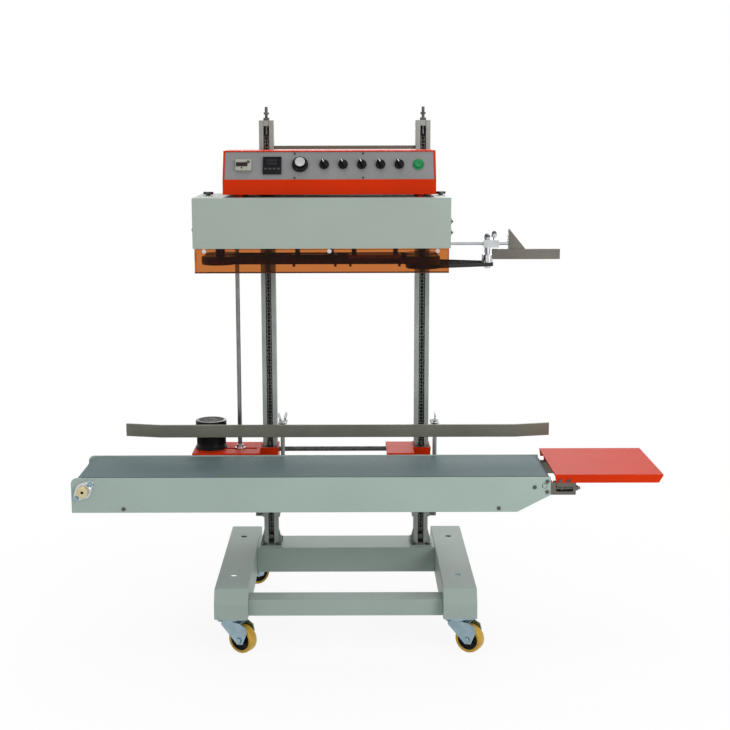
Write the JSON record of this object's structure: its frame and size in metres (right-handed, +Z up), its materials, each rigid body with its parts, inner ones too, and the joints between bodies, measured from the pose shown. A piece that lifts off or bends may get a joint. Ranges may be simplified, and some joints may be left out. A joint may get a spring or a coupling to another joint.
{
  "type": "continuous band sealer",
  "caption": "Floor-standing continuous band sealer: wheeled base, two columns, lifting belt conveyor with infeed table, sealing head with heated bands and a sloping control box.",
  "frame": {"origin": "bottom centre of the overall box, on the floor plane under the caster wheels", "axes": "+X towards the infeed end along the conveyor, +Y away from the operator, +Z up"},
  "size_m": [1.562, 0.625, 1.448],
  "materials": {
    "frame_paint": "semi-gloss grey-green enamel",
    "orange_paint": "gloss orange-red enamel",
    "panel_paint": "satin grey panel",
    "zinc": "bright zinc plate",
    "steel": "ground steel",
    "rail_steel": "brushed stainless sheet",
    "chain_steel": "oiled dark steel",
    "aluminium": "machined",
    "brass": "machined",
    "belt_rubber": "matte grey-green conveyor belt",
    "black_rubber": "matte black",
    "band_cloth": "brown coated glass cloth",
    "amber": "clear amber acrylic",
    "wheel_plastic": "yellow tread on a black hub",
    "black_plastic": "moulded black",
    "green_plastic": "green lens",
    "motor_black": "black enamel casting",
    "instrument_plastic": "moulded housings"
  },
  "bodies": {
    "frame": {"base_frame": "frame_paint", "caster_plates": "zinc", "column_left": "frame_paint", "column_right": "frame_paint", "lift_chains": "chain_steel", "tie_bar": "frame_paint", "frame_fasteners": "zinc", "head_chassis": "steel", "head_cover": "frame_paint", "heat_guard": "amber", "seal_bands": "band_cloth", "heating_blocks": "brass", "cooling_blocks": "aluminium", "guide_belts": "black_rubber", "infeed_guide": "steel", "control_box": "orange_paint", "control_panel": "panel_paint", "panel_instruments": "instrument_plastic", "head_fasteners": "zinc"},
    "conveyor": {"conveyor_frame": "frame_paint", "conveyor_belt": "belt_rubber", "roller_mounts": "zinc", "infeed_table": "orange_paint", "carriage_left": "orange_paint", "carriage_right": "orange_paint", "drive_motor": "motor_black", "rail_posts": "steel", "conveyor_fasteners": "zinc"},
    "fork_front_left": {"caster_fork_front_left": "zinc"},
    "wheel_front_left": {"caster_wheel_front_left": "wheel_plastic"},
    "fork_front_right": {"caster_fork_front_right": "zinc"},
    "wheel_front_right": {"caster_wheel_front_right": "wheel_plastic"},
    "fork_rear_left": {"caster_fork_rear_left": "zinc"},
    "wheel_rear_left": {"caster_wheel_rear_left": "wheel_plastic"},
    "fork_rear_right": {"caster_fork_rear_right": "zinc"},
    "wheel_rear_right": {"caster_wheel_rear_right": "wheel_plastic"},
    "lift_shaft": {"lift_shaft": "steel"},
    "drive_roller": {"drive_roller": "steel"},
    "tail_roller": {"tail_roller": "steel"},
    "line_shaft": {"line_shaft": "steel"},
    "drive_wheel_front": {"drive_wheel_front": "aluminium"},
    "idle_wheel_front": {"idle_wheel_front": "aluminium"},
    "press_wheel_front": {"press_wheel_front": "black_rubber"},
    "infeed_pulley_front": {"infeed_pulley_front": "zinc"},
    "drive_wheel_rear": {"drive_wheel_rear": "aluminium"},
    "idle_wheel_rear": {"idle_wheel_rear": "aluminium"},
    "press_wheel_rear": {"press_wheel_rear": "black_rubber"},
    "infeed_pulley_rear": {"infeed_pulley_rear": "zinc"},
    "guard_rail": {"guard_rail": "rail_steel"},
    "wing_screw_left": {"wing_screw_left": "zinc"},
    "wing_screw_right": {"wing_screw_right": "zinc"},
    "speed_knob": {"speed_knob": "black_plastic"},
    "selector_knob_1": {"selector_knob_1": "black_plastic"},
    "selector_knob_2": {"selector_knob_2": "black_plastic"},
    "selector_knob_3": {"selector_knob_3": "black_plastic"},
    "selector_knob_4": {"selector_knob_4": "black_plastic"},
    "selector_knob_5": {"selector_knob_5": "black_plastic"},
    "start_button": {"start_button": "green_plastic"},
    "counter_reset": {"counter_reset": "black_plastic"}
  },
  "joints": [
    {"name": "swivel_front_left", "type": "hinge", "parent": "frame", "child": "fork_front_left", "pos_m": [-0.362, -0.265, 0.084], "axis": [0, 0, 1], "continuous": true},
    {"name": "roll_front_left", "type": "hinge", "parent": "fork_front_left", "child": "wheel_front_left", "pos_m": [-0.33371, -0.282, 0.0375], "axis": [0.515, 0.8572, 0], "continuous": true},
    {"name": "swivel_front_right", "type": "hinge", "parent": "frame", "child": "fork_front_right", "pos_m": [0.248, -0.265, 0.084], "axis": [0, 0, 1], "continuous": true},
    {"name": "roll_front_right", "type": "hinge", "parent": "fork_front_right", "child": "wheel_front_right", "pos_m": [0.27629, -0.282, 0.0375], "axis": [0.515, 0.8572, 0], "continuous": true},
    {"name": "swivel_rear_left", "type": "hinge", "parent": "frame", "child": "fork_rear_left", "pos_m": [-0.362, 0.265, 0.084], "axis": [0, 0, 1], "continuous": true},
    {"name": "roll_rear_left", "type": "hinge", "parent": "fork_rear_left", "child": "wheel_rear_left", "pos_m": [-0.33371, 0.282, 0.0375], "axis": [-0.515, 0.8572, 0], "continuous": true},
    {"name": "swivel_rear_right", "type": "hinge", "parent": "frame", "child": "fork_rear_right", "pos_m": [0.248, 0.265, 0.084], "axis": [0, 0, 1], "continuous": true},
    {"name": "roll_rear_right", "type": "hinge", "parent": "fork_rear_right", "child": "wheel_rear_right", "pos_m": [0.27629, 0.282, 0.0375], "axis": [-0.515, 0.8572, 0], "continuous": true},
    {"name": "conveyor_lift", "type": "slide", "parent": "frame", "child": "conveyor", "axis": [0, 0, 1], "range_m": [-0.085, 0.16]},
    {"name": "lift_shaft_spin", "type": "hinge", "parent": "conveyor", "child": "lift_shaft", "pos_m": [-0.057, 0.08229, 0.474], "axis": [1, 0, 0], "continuous": true},
    {"name": "drive_roller_spin", "type": "hinge", "parent": "conveyor", "child": "drive_roller", "pos_m": [-0.748, -0.153, 0.4472], "axis": [0, 1, 0], "continuous": true},
    {"name": "tail_roller_spin", "type": "hinge", "parent": "conveyor", "child": "tail_roller", "pos_m": [0.469, -0.153, 0.4572], "axis": [0, 1, 0], "continuous": true},
    {"name": "line_shaft_spin", "type": "hinge", "parent": "conveyor", "child": "line_shaft", "pos_m": [-0.359, 0.038, 0.845], "axis": [0, 0, 1], "continuous": true},
    {"name": "drive_wheel_front_spin", "type": "hinge", "parent": "frame", "child": "drive_wheel_front", "pos_m": [-0.387, -0.1985, 1.05], "axis": [0, 0, 1], "continuous": true},
    {"name": "idle_wheel_front_spin", "type": "hinge", "parent": "frame", "child": "idle_wheel_front", "pos_m": [0.148, -0.1985, 1.05], "axis": [0, 0, 1], "continuous": true},
    {"name": "press_wheel_front_spin", "type": "hinge", "parent": "frame", "child": "press_wheel_front", "pos_m": [-0.257, -0.1745, 1.05], "axis": [0, 0, 1], "continuous": true},
    {"name": "infeed_pulley_front_spin", "type": "hinge", "parent": "frame", "child": "infeed_pulley_front", "pos_m": [0.321, -0.1682, 1.04], "axis": [0, 0, 1], "continuous": true},
    {"name": "drive_wheel_rear_spin", "type": "hinge", "parent": "frame", "child": "drive_wheel_rear", "pos_m": [-0.387, -0.1075, 1.05], "axis": [0, 0, 1], "continuous": true},
    {"name": "idle_wheel_rear_spin", "type": "hinge", "parent": "frame", "child": "idle_wheel_rear", "pos_m": [0.148, -0.1075, 1.05], "axis": [0, 0, 1], "continuous": true},
    {"name": "press_wheel_rear_spin", "type": "hinge", "parent": "frame", "child": "press_wheel_rear", "pos_m": [-0.257, -0.1315, 1.05], "axis": [0, 0, 1], "continuous": true},
    {"name": "infeed_pulley_rear_spin", "type": "hinge", "parent": "frame", "child": "infeed_pulley_rear", "pos_m": [0.321, -0.1378, 1.04], "axis": [0, 0, 1], "continuous": true},
    {"name": "guard_rail_slide", "type": "slide", "parent": "conveyor", "child": "guard_rail", "axis": [0, 1, 0], "range_m": [-0.035, 0.022]},
    {"name": "wing_screw_left_turn", "type": "hinge", "parent": "conveyor", "child": "wing_screw_left", "pos_m": [-0.234, -0.02, 0.572], "axis": [0, 0, 1], "continuous": true},
    {"name": "wing_screw_right_turn", "type": "hinge", "parent": "conveyor", "child": "wing_screw_right", "pos_m": [0.194, -0.02, 0.572], "axis": [0, 0, 1], "continuous": true},
    {"name": "speed_knob_turn", "type": "hinge", "parent": "frame", "child": "speed_knob", "pos_m": [-0.171, -0.21882, 1.29621], "axis": [0, 0.8824, -0.4706], "range_deg": [0, 300]},
    {"name": "selector_knob_1_turn", "type": "hinge", "parent": "frame", "child": "selector_knob_1", "pos_m": [-0.109, -0.21882, 1.29621], "axis": [0, 0.8824, -0.4706], "range_deg": [0, 60]},
    {"name": "selector_knob_2_turn", "type": "hinge", "parent": "frame", "child": "selector_knob_2", "pos_m": [-0.0606, -0.21882, 1.29621], "axis": [0, 0.8824, -0.4706], "range_deg": [0, 60]},
    {"name": "selector_knob_3_turn", "type": "hinge", "parent": "frame", "child": "selector_knob_3", "pos_m": [-0.0122, -0.21882, 1.29621], "axis": [0, 0.8824, -0.4706], "range_deg": [0, 60]},
    {"name": "selector_knob_4_turn", "type": "hinge", "parent": "frame", "child": "selector_knob_4", "pos_m": [0.0362, -0.21882, 1.29621], "axis": [0, 0.8824, -0.4706], "range_deg": [0, 60]},
    {"name": "selector_knob_5_turn", "type": "hinge", "parent": "frame", "child": "selector_knob_5", "pos_m": [0.0846, -0.21882, 1.29621], "axis": [0, 0.8824, -0.4706], "range_deg": [0, 60]},
    {"name": "start_button_press", "type": "slide", "parent": "frame", "child": "start_button", "axis": [0, 0.8824, -0.4706], "range_m": [0, 0.004], "stiffness_N_per_m": 400, "springref_m": -0.002},
    {"name": "counter_reset_press", "type": "slide", "parent": "frame", "child": "counter_reset", "axis": [0, 0.8824, -0.4706], "range_m": [0, 0.0025], "stiffness_N_per_m": 300, "springref_m": -0.001}
  ],
  "couplings": [
    {"joint": "lift_shaft_spin", "follows": "conveyor_lift", "rad_per_m": -50.742},
    {"joint": "tail_roller_spin", "follows": "drive_roller_spin", "ratio": 1.5},
    {"joint": "line_shaft_spin", "follows": "drive_roller_spin", "ratio": -0.68182},
    {"joint": "drive_wheel_front_spin", "follows": "drive_roller_spin", "ratio": -0.68182},
    {"joint": "idle_wheel_front_spin", "follows": "drive_roller_spin", "ratio": -0.68182},
    {"joint": "press_wheel_front_spin", "follows": "drive_roller_spin", "ratio": -1.5},
    {"joint": "infeed_pulley_front_spin", "follows": "drive_roller_spin", "ratio": -2.3077},
    {"joint": "drive_wheel_rear_spin", "follows": "drive_roller_spin", "ratio": 0.68182},
    {"joint": "idle_wheel_rear_spin", "follows": "drive_roller_spin", "ratio": 0.68182},
    {"joint": "press_wheel_rear_spin", "follows": "drive_roller_spin", "ratio": 1.5},
    {"joint": "infeed_pulley_rear_spin", "follows": "drive_roller_spin", "ratio": 2.3077}
  ]
}
